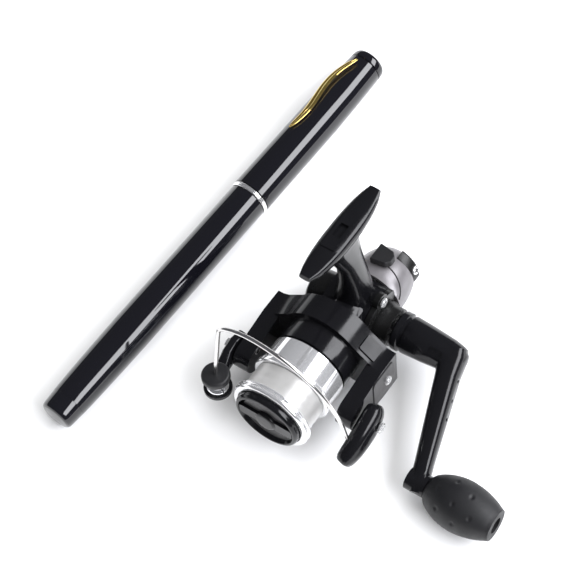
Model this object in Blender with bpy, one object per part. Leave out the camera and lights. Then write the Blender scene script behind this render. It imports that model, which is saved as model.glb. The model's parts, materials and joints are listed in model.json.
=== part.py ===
"""Pocket pen fishing rod with a small spinning reel lying beside it.

The rod is a pen-shaped case along X, with its telescopic sections nested inside.
The reel is built in its own frame, in millimetres: x forward along the spool,
y towards the crank, z up to the foot. Its origin is on the spool axis, above the
crank's axis.
"""

from math import cos, pi, radians, sin, sqrt

import bmesh
import bpy
from mathutils import Euler, Matrix, Vector

MM = 0.001

# Rod case
CASE_LENGTH = 205.0
CASE_R = 8.4
CAP_R = 8.75
RING_X = 18.8
SEAT_R = 6.9
SEAT_END = 57.0
SECTION_COUNT = 6
SECTION_PITCH = 0.8
SECTION_WALL = 0.5
GUIDE_STEP = 3.4
CLIP_LENGTH = 45.5
CLIP_INSET = 4.5

# Reel
HANDLE_Z = -6.0
SHAFT_R = 2.0
BORE_GAP = 0.3
LIP_R = 17.1
LIP_X = 62.5
SKIRT_R = 16.0
SKIRT_X = 35.5
ROTOR_X = 15.0
ARM_Y = 27.0
YOKE_R = 19.0
YOKE_DEPTH = 10.5
ARM_Z = -4.0
PIVOT_X = 42.0
ROLLER_X = 60.5
ROLLER_Y = -26.0
ELBOW_Y = 43.5
KNOB_AT = Vector((45.5, 56.5, -24.0))
KNOB_LENGTH = 33.0
FOOT_Z = 56.0
FOOT_X = 8.0
FOOT_LENGTH = 47.5
REAR_R = 13.0
REAR_LENGTH = 21.0
REAR_Z = -7.0
LEVER_X = -18.0
DRIVE_TEETH = 35
PINION_TEETH = 8

# How the reel lies: turned about Z, nose raised, crank side raised.
REEL_TURN = radians(183.5)
REEL_PITCH = radians(-5.3)
REEL_ROLL = radians(8.8)
REEL_PLACE = (6.4, -66.4)

MATERIALS = {
    "black_gloss": ((0.010, 0.010, 0.012), 0.12, 0.0),
    "black_plastic": ((0.016, 0.016, 0.018), 0.32, 0.0),
    "soft_black": ((0.020, 0.020, 0.022), 0.62, 0.0),
    "satin_grey": ((0.36, 0.35, 0.36), 0.34, 0.6),
    "chrome": ((0.86, 0.86, 0.87), 0.07, 1.0),
    "steel": ((0.60, 0.60, 0.61), 0.25, 1.0),
    "gold": ((0.83, 0.60, 0.16), 0.16, 1.0),
    "line": ((0.78, 0.79, 0.79), 0.45, 0.0),
    "brass": ((0.72, 0.55, 0.25), 0.30, 1.0),
    "fibreglass": ((0.05, 0.05, 0.06), 0.30, 0.0),
    "washer": ((0.75, 0.72, 0.66), 0.70, 0.0),
}


def clear_scene():
    for item in list(bpy.data.objects):
        bpy.data.objects.remove(item, do_unlink=True)


def material(name):
    found = bpy.data.materials.get(name)
    if found:
        return found
    colour, roughness, metallic = MATERIALS[name]
    made = bpy.data.materials.new(name)
    made.use_nodes = True
    shader = made.node_tree.nodes["Principled BSDF"]
    shader.inputs["Base Color"].default_value = (*colour, 1.0)
    shader.inputs["Roughness"].default_value = roughness
    shader.inputs["Metallic"].default_value = metallic
    return made


def empty(name, parent=None, at=(0, 0, 0)):
    made = bpy.data.objects.new(name, None)
    bpy.context.collection.objects.link(made)
    made.parent = parent
    made.location = Vector(at) * MM
    return made


def to_object(name, bm, parent, finish, pivot=(0, 0, 0)):
    """Turn a mesh drawn in millimetres into an object whose origin is the pivot."""
    bmesh.ops.remove_doubles(bm, verts=bm.verts, dist=1e-5)
    bmesh.ops.recalc_face_normals(bm, faces=bm.faces)
    bmesh.ops.translate(bm, verts=bm.verts, vec=-Vector(pivot))
    bmesh.ops.scale(bm, verts=bm.verts, vec=(MM, MM, MM))
    mesh = bpy.data.meshes.new(name)
    bm.to_mesh(mesh)
    bm.free()
    mesh.shade_smooth()
    mesh.set_sharp_from_angle(angle=radians(35))
    mesh.materials.append(material(finish))
    made = bpy.data.objects.new(name, mesh)
    bpy.context.collection.objects.link(made)
    made.parent = parent
    made.location = Vector(pivot) * MM
    return made


def boolean(target, tools, operation):
    """Cut tools from a piece, or join them to it. The tools share its parent."""
    for tool in tools:
        step = target.modifiers.new(operation.lower(), "BOOLEAN")
        step.operation = operation
        step.solver = "EXACT"
        step.object = tool
        tool.hide_render = True
        tool.display_type = "WIRE"
    return target


def axis_frame(axis):
    """Columns (u, v, w) with w along the axis of a turned or extruded piece."""
    frames = {
        "x": Matrix(((0, 0, 1), (1, 0, 0), (0, 1, 0))),
        "y": Matrix(((0, 1, 0), (0, 0, 1), (1, 0, 0))),
        "z": Matrix.Identity(3),
    }
    return frames[axis]


def turned_mesh(profile, axis="x", centre=(0, 0, 0), steps=26, closed=False):
    """Turn (distance along the axis, radius) points about the axis."""
    bm = bmesh.new()
    frame = axis_frame(axis)
    rings = []
    for along, radius in profile:
        count = 1 if radius == 0 else steps
        ring = []
        for k in range(count):
            angle = 2 * pi * k / steps
            local = Vector((radius * cos(angle), radius * sin(angle), along))
            ring.append(bm.verts.new(frame @ local + Vector(centre)))
        rings.append(ring)
    pairs = list(zip(rings, rings[1:]))
    if closed:
        pairs.append((rings[-1], rings[0]))
    for low, high in pairs:
        for k in range(steps):
            corners = [low[k % len(low)], low[(k + 1) % len(low)]]
            corners += [high[(k + 1) % len(high)], high[k % len(high)]]
            corners = list(dict.fromkeys(corners))
            if len(corners) > 2:
                bm.faces.new(corners)
    return bm


def extruded_mesh(outline, low, high, axis="y", centre=(0, 0, 0)):
    """Prism of an outline (u, v) between two heights along an axis."""
    bm = bmesh.new()
    frame = axis_frame(axis)
    ends = []
    for height in (low, high):
        ring = [bm.verts.new(frame @ Vector((u, v, height)) + Vector(centre)) for u, v in outline]
        ends.append(ring)
    count = len(outline)
    for k in range(count):
        after = (k + 1) % count
        bm.faces.new((ends[0][k], ends[0][after], ends[1][after], ends[1][k]))
    bm.faces.new(ends[0][::-1])
    bm.faces.new(ends[1])
    return bm


def box_mesh(low, high):
    outline = [(low[0], low[1]), (high[0], low[1]), (high[0], high[1]), (low[0], high[1])]
    return extruded_mesh(outline, low[2], high[2], axis="z")


def swept_mesh(stations, up=(0, 0, 1), steps=16, power=2.0):
    """Skin rings through stations of (centre, half width, half height).

    The width lies across the path and the height along the up direction. A power
    over 2 squares the section's corners.
    """
    bm = bmesh.new()
    centres = [Vector(station[0]) for station in stations]
    rings = []
    for index, (centre, width, height) in enumerate(stations):
        before = centres[max(index - 1, 0)]
        after = centres[min(index + 1, len(centres) - 1)]
        along = (after - before).normalized()
        side = along.cross(Vector(up)).normalized()
        lift = side.cross(along).normalized()
        ring = []
        for k in range(steps):
            angle = 2 * pi * k / steps
            across = abs(cos(angle)) ** (2 / power) * (1 if cos(angle) >= 0 else -1)
            rise = abs(sin(angle)) ** (2 / power) * (1 if sin(angle) >= 0 else -1)
            offset = side * (width * across) + lift * (height * rise)
            ring.append(bm.verts.new(Vector(centre) + offset))
        rings.append(ring)
    for low, high in zip(rings, rings[1:]):
        for k in range(steps):
            after = (k + 1) % steps
            bm.faces.new((low[k], low[after], high[after], high[k]))
    bm.faces.new(rings[0][::-1])
    bm.faces.new(rings[-1])
    return bm


def smooth_path(points, steps):
    """Points of a Catmull-Rom curve through the given points."""
    guide = [Vector(p) for p in points]
    guide = [2 * guide[0] - guide[1]] + guide + [2 * guide[-1] - guide[-2]]
    path = []
    for a, b, c, d in zip(guide, guide[1:], guide[2:], guide[3:]):
        for k in range(steps):
            t = k / steps
            path.append(
                0.5 * (2 * b + (c - a) * t + (2 * a - 5 * b + 4 * c - d) * t * t
                       + (3 * b - 3 * c + d - a) * t ** 3)
            )
    path.append(guide[-2])
    return path


def gear_outline(teeth, root, tip):
    """Straight-sided teeth: four points for each."""
    outline = []
    for tooth in range(teeth):
        for share, radius in ((0.0, root), (0.25, root), (0.38, tip), (0.62, tip)):
            angle = 2 * pi * (tooth + share + 0.125) / teeth
            outline.append((radius * cos(angle), radius * sin(angle)))
    return outline


def rounded_slab(width, height, radius, steps=5):
    """Rectangle outline with round corners, centred."""
    outline = []
    corners = ((1, 1), (-1, 1), (-1, -1), (1, -1))
    for index, (sx, sy) in enumerate(corners):
        for k in range(steps + 1):
            angle = pi / 2 * (index + k / steps)
            x = sx * (width / 2 - radius) + radius * cos(angle)
            y = sy * (height / 2 - radius) + radius * sin(angle)
            outline.append((x, y))
    return outline


def turned(name, profile, parent, finish, axis="x", centre=(0, 0, 0), steps=26, closed=False,
           pivot=(0, 0, 0)):
    bm = turned_mesh(profile, axis, centre, steps, closed)
    return to_object(name, bm, parent, finish, pivot)


def ring_profile(low, high, inner, outer, chamfer=0.0):
    return [
        (low, inner), (low, outer - chamfer), (low + chamfer, outer),
        (high - chamfer, outer), (high, outer - chamfer), (high, inner),
    ] if chamfer else [(low, inner), (low, outer), (high, outer), (high, inner)]


def cross_screw(name, parent, finish, at, axis, length=1.2, radius=2.2):
    """Pan-head screw with a cross slot; only the head stands out of the piece."""
    sign = 1 if length > 0 else -1
    head = [(0, 0), (0, radius), (length * 0.6, radius), (length, radius * 0.75), (length, 0)]
    made = turned(name, head, parent, finish, axis, at, 12, pivot=at)
    slots = []
    for long_u, long_v in ((0.6, 0.14), (0.14, 0.6)):
        half_u, half_v = radius * long_u, radius * long_v
        outline = [(-half_u, -half_v), (half_u, -half_v), (half_u, half_v), (-half_u, half_v)]
        low, high = sorted((length * 0.55, length + sign))
        bm = extruded_mesh(outline, low, high, axis, at)
        slots.append(to_object(f"{name}_slot_{len(slots)}", bm, parent, finish, at))
    return boolean(made, slots, "DIFFERENCE")


# ---------------------------------------------------------------- rod


def build_case(rod):
    """Case tube, butt cap and ring, all fixed together."""
    butt_x = -CASE_LENGTH / 2
    bore = SECTION_WALL * 2 + 5.4
    turned("case_tube", [
        (butt_x + 8.3, bore), (butt_x + 8.3, 7.55), (butt_x + 12, 7.75), (butt_x + 20, 7.97),
        (butt_x + 31, 8.2), (butt_x + 45, CASE_R), (RING_X - 0.3, CASE_R), (RING_X - 0.3, bore),
    ], rod, "black_gloss", closed=True, steps=26)
    turned("butt_cap", [
        (butt_x, 0), (butt_x, 5.9), (butt_x + 0.4, 6.6), (butt_x + 1.4, 7.0), (butt_x + 8.0, 7.52),
        (butt_x + 8.0, 0),
    ], rod, "black_gloss", steps=26)
    turned("ferrule_ring", ring_profile(RING_X, RING_X + 1.9, SEAT_R + 0.3, CAP_R + 0.1, 0.35),
           rod, "chrome", closed=True, steps=26)
    turned("seat_barrel", ring_profile(RING_X, SEAT_END, bore, SEAT_R), rod, "black_plastic",
           closed=True, steps=28)
    turned("fixed_hood", ring_profile(RING_X + 2.6, RING_X + 8, SEAT_R + 0.2, 7.6, 0.3), rod,
           "steel", closed=True, steps=28)


def build_hood(rod):
    """Sliding hood that clamps the other end of a reel's foot."""
    hood = empty("hood_axis", rod, (SEAT_END - 12, 0, 0))
    turned("sliding_hood", ring_profile(-5, 5, SEAT_R + 0.2, 7.6, 0.3), hood, "steel",
           closed=True, steps=28)


def build_sections(rod):
    """Nested tubes, each one sliding in the one before, with a guide at each tip."""
    parent = rod
    outer = 5.9
    low = -CASE_LENGTH / 2 + 9
    for index in range(1, SECTION_COUNT + 1):
        last = index == SECTION_COUNT
        tip = SEAT_END + 0.6 + index * GUIDE_STEP
        pivot = empty(f"section_{index}_axis", parent)
        parent = pivot
        inner = outer - SECTION_WALL
        if last:
            profile = [(low, 0), (low, outer), (low + 30, outer), (tip - 0.4, 0.75), (tip - 0.4, 0)]
            turned("tip_section", profile, pivot, "fibreglass", steps=14)
            profile = [(tip, 0), (tip, 1.7), (tip + 1.8, 1.7), (tip + 1.8, 0)]
            turned("tip_guide", profile, pivot, "steel", steps=14)
        else:
            turned(f"section_{index}", ring_profile(low, tip, inner, outer), pivot, "fibreglass",
                   closed=True, steps=20)
            profile = ring_profile(tip - 1.6, tip - 0.1, outer + 0.3, outer + 0.9)
            turned(f"guide_{index}", profile, pivot, "steel", closed=True, steps=20)
        low += 0.6
        outer -= SECTION_PITCH


def build_cap(rod):
    """Cap tube, its end plug and the clip, which pull off together."""
    cap = empty("cap_axis", rod, (RING_X + 2.2, 0, 0))
    end = CASE_LENGTH / 2 - RING_X - 2.2
    turned("cap_tube", [
        (0, 8.0), (0, CAP_R), (end - 35, CAP_R - 0.05), (end - 20, 8.3), (end - 4.3, 7.75),
        (end - 4.3, 6.6), (end - 18, 7.3), (end - 35, 8.0),
    ], cap, "black_gloss", closed=True, steps=26)
    turned("cap_end", [
        (end - 4.0, 0), (end - 4.0, 7.73), (end - 1.4, 7.55), (end - 0.4, 7.1), (end, 6.4), (end, 0),
    ], cap, "black_gloss", steps=26)
    build_clip(cap, end)


def build_clip(cap, end):
    """S-shaped spring clip: a band that waves sideways over the cap and stands off it."""
    stations = []
    count = 18
    lean = radians(11)
    for k in range(count + 1):
        t = k / count
        along = end - CLIP_INSET - t * CLIP_LENGTH
        wave = 3.0 * t + 1.8 * sin(pi * t) + 1.7 * sin(2 * pi * t)
        lift = 9.65 + 0.35 * sin(pi * t)
        turn = lean + wave / lift
        width = 0.55 + 1.15 * sin(pi * t) ** 0.6
        stations.append(((along, lift * sin(turn), lift * cos(turn)), width, 0.5))
    lean += 0.25
    up = (0, sin(lean), cos(lean))
    to_object("cap_clip", swept_mesh(stations, up, 10, 3.0), cap, "gold")


# ---------------------------------------------------------------- reel body


def disc_outline(radius, centre_z, steps=36, cut_x=None):
    """Circle as (z, x) points about the crank axis, with the part behind cut_x left off."""
    outline = []
    for k in range(steps):
        angle = 2 * pi * k / steps
        x = radius * sin(angle)
        z = centre_z + radius * cos(angle)
        if cut_x is not None and x < cut_x:
            x = cut_x
            half = sqrt(radius * radius - cut_x * cut_x)
            z = min(max(z, centre_z - half), centre_z + half)
        outline.append((z, x))
    return list(dict.fromkeys(outline))


def build_body(reel):
    """Body casting: gear drum, front neck, stem and foot in one piece."""
    shell = extruded_mesh(disc_outline(13.5, HANDLE_Z, cut_x=-9.0), -11.5, 8.5, "y")
    body = to_object("reel_body", shell, reel, "black_plastic")
    neck = turned("neck", [(6, 0), (6, 8.6), (12.6, 8.6), (14.4, 8.0), (14.4, 0)], reel,
                  "black_plastic", steps=26)
    stem_path = [
        ((1, -1, 4), 8.0, 8.0), ((1, -1, 12), 6.4, 7.2), ((2, -0.4, 22), 4.8, 6.4),
        ((4, 0, 34), 3.8, 6.2), ((7, 0, 46), 3.6, 8.2), ((FOOT_X, 0, FOOT_Z - 1.5), 4.0, 11.5),
    ]
    stem = to_object("stem", swept_mesh(stem_path, (1, 0, 0), 16, 2.6), reel, "black_plastic")
    foot = to_object("foot", foot_mesh(), reel, "black_plastic")
    pad = box_mesh((FOOT_X - 9, -3.0, FOOT_Z - 1), (FOOT_X + 9, 3.0, FOOT_Z + 1.6))
    pad = to_object("foot_pad", pad, reel, "black_plastic")
    boolean(body, [neck, stem, foot, pad], "UNION")
    hollow = extruded_mesh(disc_outline(11.9, HANDLE_Z, cut_x=-10.5), -9.9, 9.5, "y")
    hollow = to_object("body_hollow", hollow, reel, "black_plastic")
    bore = turned("neck_bore", [
        (-12, 0), (-12, 2.6), (4, 2.6), (4, 7.2), (13.4, 7.2), (13.4, 4.2), (16, 4.2), (16, 0),
    ], reel, "black_plastic", steps=28)
    shaft_hole = turned("left_hole", [(-13, 0), (-13, 3.1), (-8, 3.1), (-8, 0)], reel,
                        "black_plastic", "y", (0, 0, HANDLE_Z), 20)
    boolean(body, [hollow, bore, shaft_hole], "DIFFERENCE")


def foot_mesh():
    """Boat-shaped foot, flat on top, with pointed ends."""
    stations = []
    count = 12
    for k in range(count + 1):
        t = -1 + 2 * k / count
        fall = max(1 - abs(t) ** 2.4, 0.0)
        width = 2.4 + 3.2 * fall ** 0.8
        height = 1.0 + 2.0 * fall ** 0.7
        x = FOOT_X - t * FOOT_LENGTH / 2
        stations.append(((x, 0, FOOT_Z + 1.2 - height), width, height))
    return swept_mesh(stations, (0, 0, 1), 16, 3.2)


def build_covers(reel):
    """Handle-side cover, grey rear cover, round cap on the far side and the screws."""
    cover = to_object("side_cover",
                      extruded_mesh(disc_outline(13.5, HANDLE_Z, cut_x=-9.0), 8.8, 11.0, "y"),
                      reel, "black_plastic")
    boss = turned("cover_boss", [(9, 0), (9, 9.2), (12.6, 9.2), (14.0, 8.2), (17.4, 8.2), (17.4, 0)],
                  reel, "black_plastic", "y", (0, 0, HANDLE_Z))
    ear = turned("cover_ear", [(8.8, 0), (8.8, 3.6), (11.2, 3.6), (11.2, 0)], reel,
                 "black_plastic", "y", (0, 0, HANDLE_Z + 13.5), 18)
    boolean(cover, [boss, ear], "UNION")
    bore = turned("cover_bore", [(8, 0), (8, 3.1), (18, 3.1), (18, 0)], reel, "black_plastic", "y",
                  (0, 0, HANDLE_Z), 20)
    boolean(cover, [bore], "DIFFERENCE")

    shell = turned("rear_cover", rear_profile(), reel, "satin_grey", centre=(-9.4, 0, REAR_Z),
                   steps=26, closed=True)
    slot = box_mesh((LEVER_X - 2, -5, REAR_Z + 7), (LEVER_X + 2, 5, REAR_Z + REAR_R + 2))
    slot = to_object("lever_slot", slot, reel, "satin_grey")
    boolean(shell, [slot], "DIFFERENCE")

    turned("side_cap", [
        (-21.6, 0), (-21.6, 7.0), (-20.6, 8.2), (-14.6, 8.6), (-13.0, 8.2), (-11.9, 7.2),
        (-11.9, 3.1), (-20.4, 3.1), (-20.4, 0),
    ], reel, "black_plastic", "y", (0, 0, HANDLE_Z), 32)
    cross_screw("cover_screw_top", reel, "steel", (0, 11.5, HANDLE_Z + 13.5), "y")
    cross_screw("cover_screw_low", reel, "steel", (5.0, 11.3, HANDLE_Z - 10.2), "y")
    cross_screw("cover_screw_rear", reel, "steel", (-6.2, 11.3, HANDLE_Z - 9.7), "y", radius=2.0)


def rear_profile():
    """Blunt egg shell, open at the front: outer wall back to the pole, inner wall forward."""
    wall = 1.6
    count = 8
    outer, inner = [], []
    for k in range(count + 1):
        turn = pi / 2 * k / count
        along, radius = sin(turn) ** 0.8, cos(turn) ** 0.8
        if k == count:
            radius = 0.0
        outer.append((-REAR_LENGTH * along, REAR_R * radius))
        inner.append((-(REAR_LENGTH - wall) * along, (REAR_R - wall) * radius))
    return outer + inner[::-1]


def build_bearing(reel):
    """Ball bearing of the pinion: one closed cartridge."""
    turned("pinion_bearing", ring_profile(10.6, 13.1, 4.0, 6.9, 0.3), reel, "steel", closed=True,
           steps=28)


def build_lever(reel):
    """Anti-reverse lever on the rear cover, with its shank in the slot."""
    pivot = (LEVER_X, 0, REAR_Z)
    outline = [(-5.4, -3.6), (5.4, -3.6), (4.2, 3.0), (1.6, 4.8), (-1.6, 4.8), (-4.2, 3.0)]
    seat = REAR_R + 0.4
    bm = extruded_mesh([(y * 0.8, x) for y, x in outline], seat, seat + 3.4, "z", pivot)
    lever = to_object("anti_reverse_lever", bm, reel, "black_plastic", pivot)
    shank = turned("lever_shank", [(10.5, 0), (10.5, 1.2), (seat + 1, 1.2), (seat + 1, 0)], reel,
                   "black_plastic", "z", pivot, 16, pivot=pivot)
    boolean(lever, [shank], "UNION")


# ---------------------------------------------------------------- turning parts


def build_rotor(reel):
    """Rotor with its two arms, pinion and nut, turning about the spool axis."""
    rotor = empty("rotor_axis", reel)
    drum = turned("rotor", [
        (ROTOR_X, 0), (ROTOR_X, 15.0), (ROTOR_X + 1.2, 16.0), (34.6, 16.0), (34.6, 14.3),
        (43, 14.1), (43, 12.6), (20, 12.6), (20, 0),
    ], rotor, "black_gloss", steps=28)
    low, high = ARM_Z - 9.5, ARM_Z + 9.0
    crown = [(YOKE_R * cos(radians(turn)), YOKE_R * sin(radians(turn)))
             for turn in range(35, 146, 10)]
    plate = [(-ARM_Y, low + 1.5), (-ARM_Y + 4, low), (-10, -13.0), (10, -13.0),
             (ARM_Y - 4, low), (ARM_Y, low + 1.5), (ARM_Y, high - 1.5), (ARM_Y - 4, high),
             *crown, (-ARM_Y + 4, high), (-ARM_Y, high - 1.5)]
    base = to_object("rotor_base", extruded_mesh(plate, ROTOR_X, ROTOR_X + YOKE_DEPTH, "x"), rotor,
                     "black_gloss")
    tools = [base]
    for side in (-1, 1):
        arm = arm_outline()
        low, high = sorted((side * (ARM_Y - 6.4), side * (ARM_Y + 0.6)))
        tools.append(to_object(f"arm_{side}", extruded_mesh(arm, low, high, "y"), rotor,
                               "black_gloss"))
    boolean(drum, tools, "UNION")
    bore = turned("rotor_bore", [
        (14, 0), (14, 4.2), (20.2, 4.2), (20.2, 12.4), (44, 12.4), (44, 0),
    ], rotor, "black_gloss", steps=28)
    boolean(drum, [bore], "DIFFERENCE")
    gear = to_object("pinion", extruded_mesh(gear_outline(PINION_TEETH, 2.9, 3.7), 5.4, 9.4, "x"),
                     rotor, "brass")
    sleeve = turned("pinion_sleeve", [(9, 0), (9, 3.7), (22.5, 3.7), (22.5, 0)], rotor, "brass",
                    steps=20)
    hole = turned("pinion_bore", [(4, 0), (4, SHAFT_R + BORE_GAP), (24, SHAFT_R + BORE_GAP), (24, 0)],
                  rotor, "brass", steps=20)
    boolean(gear, [sleeve], "UNION")
    boolean(gear, [hole], "DIFFERENCE")
    nut = [(6.2 * cos(k * pi / 3), 6.2 * sin(k * pi / 3)) for k in range(6)]
    nut = to_object("rotor_nut", extruded_mesh(nut, 20.5, 22.6, "x"), rotor, "brass")
    nut_bore = turned("nut_bore", [(19, 0), (19, 4.0), (24, 4.0), (24, 0)], rotor, "brass", steps=20)
    boolean(nut, [nut_bore], "DIFFERENCE")
    cross_screw("rotor_screw", rotor, "steel", (23.0, ARM_Y + 0.9, ARM_Z), "y", radius=2.1)
    return rotor


def arm_outline():
    """Rotor arm seen along the pivot, as (z, x): tall at the root, round at the pivot."""
    outline = [(ARM_Z - 9.5, ROTOR_X + 0.5), (ARM_Z - 9.5, 26), (ARM_Z - 7.0, 37)]
    for k in range(9):
        angle = radians(-70 + 140 * k / 8)
        outline.append((ARM_Z + 6.4 * sin(angle), PIVOT_X + 6.4 * cos(angle)))
    outline += [(ARM_Z + 7.0, 37), (ARM_Z + 9.0, 26), (ARM_Z + 9.0, ROTOR_X + 0.5)]
    return outline


def build_bail(rotor):
    """Bail arm, lever and wire, which flip together about the pivots."""
    pivot = (PIVOT_X, 0, ARM_Z)
    out = ARM_Y + 1.0
    arm_path = [
        ((PIVOT_X - 5.5, -out - 2.8, ARM_Z), 2.5, 4.5), ((PIVOT_X, -out - 2.9, ARM_Z), 2.7, 6.2),
        ((PIVOT_X + 5, -out - 2.8, ARM_Z - 0.2), 2.6, 5.2),
        ((PIVOT_X + 10, -out - 1.8, -4.2), 2.6, 3.0),
        ((ROLLER_X - 5.0, ROLLER_Y - 2.8, -4.5), 2.4, 1.1), ((ROLLER_X, ROLLER_Y, -4.6), 1.9, 1.0),
    ]
    arm = to_object("bail_arm", swept_mesh(arm_path, (0, 0, 1), 16, 2.6), rotor, "black_plastic",
                    pivot)
    foot = turned("roller_flange", [(-5.6, 0), (-5.6, 5.0), (-4.6, 5.75), (-3.2, 5.75), (-3.2, 0)],
                  rotor, "black_plastic", "z", (ROLLER_X, ROLLER_Y, 0), 28, pivot=pivot)
    post = turned("roller_post", [(-4, 0), (-4, 1.3), (2.4, 1.3), (2.4, 0)], rotor,
                  "black_plastic", "z", (ROLLER_X, ROLLER_Y, 0), 16, pivot=pivot)
    boolean(arm, [foot, post], "UNION")
    roller = empty("roller_axis", rotor, (ROLLER_X, ROLLER_Y, 0))
    turned("line_roller", [
        (-2.9, 1.6), (-2.9, 4.6), (-1.9, 4.3), (-0.6, 3.1), (0.8, 4.3), (2.1, 4.7), (2.1, 1.6),
    ], roller, "chrome", "z", closed=True, steps=28)
    turned("roller_cap", [(2.7, 0), (2.7, 5.2), (3.5, 5.75), (5.6, 5.75), (6.5, 5.1), (6.5, 0)],
           rotor, "black_plastic", "z", (ROLLER_X, ROLLER_Y, 0), 32, pivot=pivot)
    lever_path = [
        ((PIVOT_X - 6.4, out + 3.4, ARM_Z + 3.6), 2.8, 2.8),
        ((PIVOT_X - 3.4, out + 4.4, ARM_Z + 2.0), 4.1, 5.6),
        ((PIVOT_X + 1.6, out + 4.6, ARM_Z - 0.6), 4.3, 6.6),
        ((PIVOT_X + 7.2, out + 4.4, ARM_Z - 3.0), 4.2, 6.2),
        ((PIVOT_X + 12.0, out + 3.8, ARM_Z - 5.4), 4.0, 5.6),
        ((PIVOT_X + 16.0, out + 2.9, ARM_Z - 7.4), 3.6, 4.4),
        ((PIVOT_X + 17.6, out + 2.5, ARM_Z - 8.2), 2.6, 3.0),
    ]
    to_object("bail_lever", swept_mesh(lever_path, (0, 0, 1), 18, 2.3), rotor, "black_plastic",
              pivot)
    cross_screw("lever_screw", rotor, "steel", (PIVOT_X, out + 9.2, ARM_Z), "y", radius=2.4)
    cross_screw("arm_screw", rotor, "steel", (PIVOT_X, -out - 6.0, ARM_Z), "y", -1.2, 2.4)
    build_wire(rotor, pivot)


def wire_points():
    """Centre line of the bail wire, from the roller cap round to the lever."""
    corner = [(ROLLER_X, ROLLER_Y, 6.9), (ROLLER_X - 1.4, ROLLER_Y + 1.4, 20),
              (ROLLER_X - 2.8, ROLLER_Y + 2.8, 33.5), (57.4, -21.6, 37.6), (57.0, -17.0, 40.0)]
    sweep = [(56.6, -10, 41.0), (56.2, -1, 39.4), (55.6, 10, 34.4), (54.8, 20, 24.6),
             (54.2, 27, 11.5), (53.6, 29.6, -1.6)]
    return smooth_path(corner + sweep, 3)


def build_wire(rotor, pivot):
    stations = [(tuple(point), 0.85, 0.85) for point in wire_points()]
    to_object("bail_wire", swept_mesh(stations, (0.9, 0, 0.3), 10), rotor, "chrome", pivot)


def build_spool(reel):
    """Spool and wound line, main shaft, drag washer, drag spring and knob."""
    spool = empty("spool_axis", reel)
    flange = LIP_X - 16.4
    turned("spool", [
        (LIP_X, 14.6), (LIP_X, 16.4), (LIP_X - 0.7, LIP_R), (LIP_X - 1.4, LIP_R),
        (LIP_X - 1.8, 16.5), (LIP_X - 2.2, 16.5), (LIP_X - 2.6, LIP_R), (LIP_X - 3.2, LIP_R),
        (LIP_X - 3.6, 16.4), (LIP_X - 3.6, 11), (flange + 2.2, 11), (flange + 2.2, 16.4),
        (flange + 1.7, 17.0), (flange, 17.0), (flange - 0.6, SKIRT_R), (SKIRT_X, SKIRT_R),
        (SKIRT_X, 14.9), (flange - 1.0, 14.9), (flange - 1.0, SHAFT_R + BORE_GAP),
        (LIP_X - 7.6, SHAFT_R + BORE_GAP), (LIP_X - 7.6, 10.1), (LIP_X - 2.9, 10.1),
        (LIP_X - 2.9, 14.6),
    ], spool, "chrome", closed=True, steps=28)
    turned("wound_line", ring_profile(flange + 2.5, LIP_X - 3.9, 11.3, 15.2, 0.5), spool, "line",
           closed=True, steps=28)
    shaft = [(-21, 0), (-21, SHAFT_R), (LIP_X - 2.4, SHAFT_R), (LIP_X - 2.4, 0)]
    turned("main_shaft", shaft, reel, "steel", steps=20)
    block = to_object("oscillation_block", box_mesh((-17.6, -3.2, -9), (-15.1, 3.2, 3.0)), reel,
                      "black_plastic")
    bore = turned("block_bore", [(-19, 0), (-19, 2.3), (-10, 2.3), (-10, 0)], reel,
                  "black_plastic", steps=20)
    boolean(block, [bore], "DIFFERENCE")
    turned("drag_washer", ring_profile(LIP_X - 7.3, LIP_X - 6.8, 2.4, 9.7), spool, "washer",
           closed=True, steps=28)
    build_drag_knob(reel)


def build_drag_knob(reel):
    knob = empty("drag_axis", reel)
    back = LIP_X - 6.4
    body = turned("drag_knob", [
        (LIP_X - 1.6, 0), (LIP_X - 1.6, 2.3), (LIP_X - 2.8, 2.3), (LIP_X - 2.8, 6), (back, 6),
        (back, 9.6), (LIP_X - 2.5, 9.6), (LIP_X - 2.5, 13.8), (LIP_X - 2.0, 14.2),
        (LIP_X + 1.8, 14.2), (LIP_X + 2.7, 13.6),
        (LIP_X + 2.9, 12.6), (LIP_X + 1.2, 11.8), (LIP_X + 1.2, 0),
    ], knob, "black_plastic", steps=26)
    bar = to_object("knob_bar", extruded_mesh(rounded_slab(24.6, 5.4, 1.2), LIP_X, LIP_X + 2.8, "x"),
                    knob, "black_plastic")
    boss = turned("knob_boss", [(LIP_X, 0), (LIP_X, 4.8), (LIP_X + 2.8, 4.8), (LIP_X + 3.3, 4.2),
                                (LIP_X + 3.3, 0)], knob, "black_plastic", steps=28)
    boolean(body, [bar, boss], "UNION")
    turned("drag_spring", ring_profile(LIP_X - 6.1, LIP_X - 3.2, 2.6, 5.2, 0.4), knob, "steel",
           closed=True, steps=24)


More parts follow.
